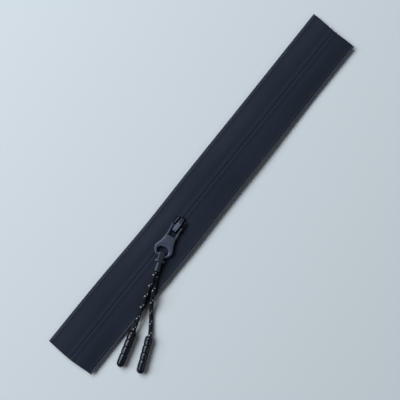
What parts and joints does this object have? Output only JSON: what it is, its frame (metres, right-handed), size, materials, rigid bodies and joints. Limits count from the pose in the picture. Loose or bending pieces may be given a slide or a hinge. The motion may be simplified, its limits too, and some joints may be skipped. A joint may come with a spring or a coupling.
{
  "type": "zipper",
  "caption": "Water-repellent coil zipper with a film-faced tape and an auto-lock slider, whose puller carries a looped cord with moulded grips.",
  "frame": {"origin": "middle of the chain in plan, at the height of the surface under the slider's back plate", "axes": "+Y along the chain towards the slider's nose, +X across the tapes to the right, +Z out of the film-faced side"},
  "size_m": [0.0571, 0.26, 0.0091],
  "materials": {
    "tape": "fine twill weave",
    "film": "satin, smooth film",
    "coil": "smooth monofilament",
    "thread": "twisted thread",
    "slider_enamel": "satin enamel",
    "puller_metal": "satin gunmetal",
    "spring_steel": "stamped, dark",
    "cord": "braided, with reflective tracer flecks",
    "grip": "semi-gloss moulded"
  },
  "bodies": {
    "chain": {"tape_left": "tape", "tape_right": "tape", "film_left": "film", "film_right": "film", "coil_left": "coil", "coil_right": "coil", "filler_cord_left": "thread", "filler_cord_right": "thread", "needle_thread_left": "thread", "needle_thread_right": "thread", "looper_thread_left": "thread", "looper_thread_right": "thread"},
    "slider": {"slider_body": "slider_enamel", "slider_crown": "puller_metal", "lock_spring": "spring_steel"},
    "lock": {"lock_pin": "spring_steel"},
    "puller": {"puller": "puller_metal"},
    "cord_pull": {"cord_connector": "grip", "cord_left": "cord", "cord_right": "cord", "grip_left": "grip", "grip_right": "grip"}
  },
  "joints": [
    {"name": "slider_travel", "type": "slide", "parent": "chain", "child": "slider", "axis": [0, 1, 0], "range_m": [-0.0955, 0.15], "deforming": ["coil_left", "coil_right", "film_left", "film_right"]},
    {"name": "puller_pivot", "type": "hinge", "parent": "slider", "child": "puller", "pos_m": [0.0001, -0.0286, 0.0063], "axis": [-0.989, -0.1478, 0], "range_deg": [0, 150]},
    {"name": "lock_lift", "type": "hinge", "parent": "slider", "child": "lock", "pos_m": [0, -0.0242, 0.00555], "axis": [-1, 0, 0], "range_deg": [0, 5], "deforming": ["lock_spring"]},
    {"name": "cord_pull_swing", "type": "hinge", "parent": "puller", "child": "cord_pull", "pos_m": [0.003, -0.04798, 0.0063], "axis": [-0.989, -0.1478, 0], "range_deg": [0, 35]}
  ],
  "couplings": [
    {"joint": "lock_lift", "follows": "puller_pivot", "ratio": 0.033333}
  ]
}
